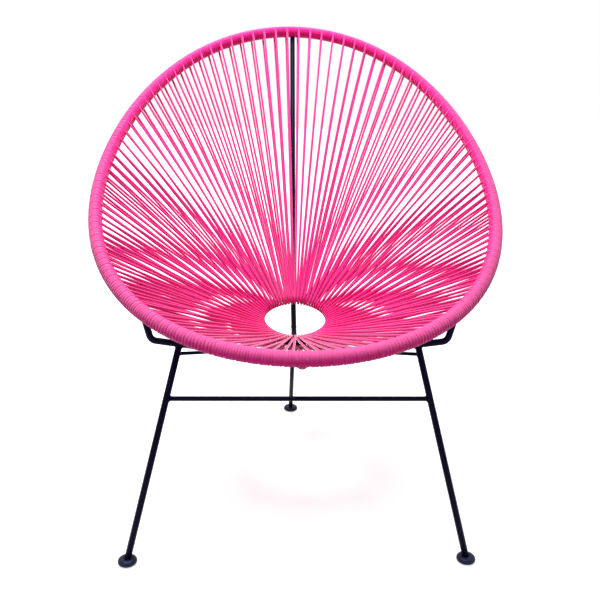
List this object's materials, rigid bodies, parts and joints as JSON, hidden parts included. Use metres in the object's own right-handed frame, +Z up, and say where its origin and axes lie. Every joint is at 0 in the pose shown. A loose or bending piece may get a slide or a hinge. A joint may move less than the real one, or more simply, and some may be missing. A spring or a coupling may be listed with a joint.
{
  "type": "acapulco chair",
  "caption": "Low outdoor lounge chair: cord-wound egg-shaped bucket seat with a small hub ring, on a welded rod tripod.",
  "frame": {"origin": "on the floor, under the middle of the hoop's bounding box", "axes": "+Z up, -Y the way the sitter faces, +X to the right of someone who looks at the chair's front"},
  "size_m": [0.7768, 0.9006, 0.86],
  "materials": {
    "cord": "extruded soft PVC cord, half gloss",
    "frame_steel": "powder coated rod, half gloss",
    "glide": "moulded glide, matte"
  },
  "bodies": {
    "root": {"hoop_tube": "frame_steel", "hoop_spigot": "frame_steel", "seat_ring": "frame_steel", "spine_rod": "frame_steel", "cradle_rod": "frame_steel", "crossbar": "frame_steel", "rear_leg": "frame_steel", "front_leg_left": "frame_steel", "brace_left": "frame_steel", "foot_plate_left": "frame_steel", "foot_glide_left": "glide", "front_leg_right": "frame_steel", "brace_right": "frame_steel", "foot_plate_right": "frame_steel", "foot_glide_right": "glide", "foot_plate_rear": "frame_steel", "foot_glide_rear": "glide", "cord_sector_01": "cord", "cord_sector_02": "cord", "cord_sector_03": "cord", "cord_sector_04": "cord", "cord_sector_05": "cord", "cord_sector_06": "cord", "cord_sector_07": "cord", "cord_sector_08": "cord", "cord_sector_09": "cord", "cord_sector_10": "cord", "cord_sector_11": "cord", "cord_sector_12": "cord", "cord_sector_13": "cord", "cord_sector_14": "cord", "cord_sector_15": "cord", "cord_sector_16": "cord"}
  },
  "joints": []
}
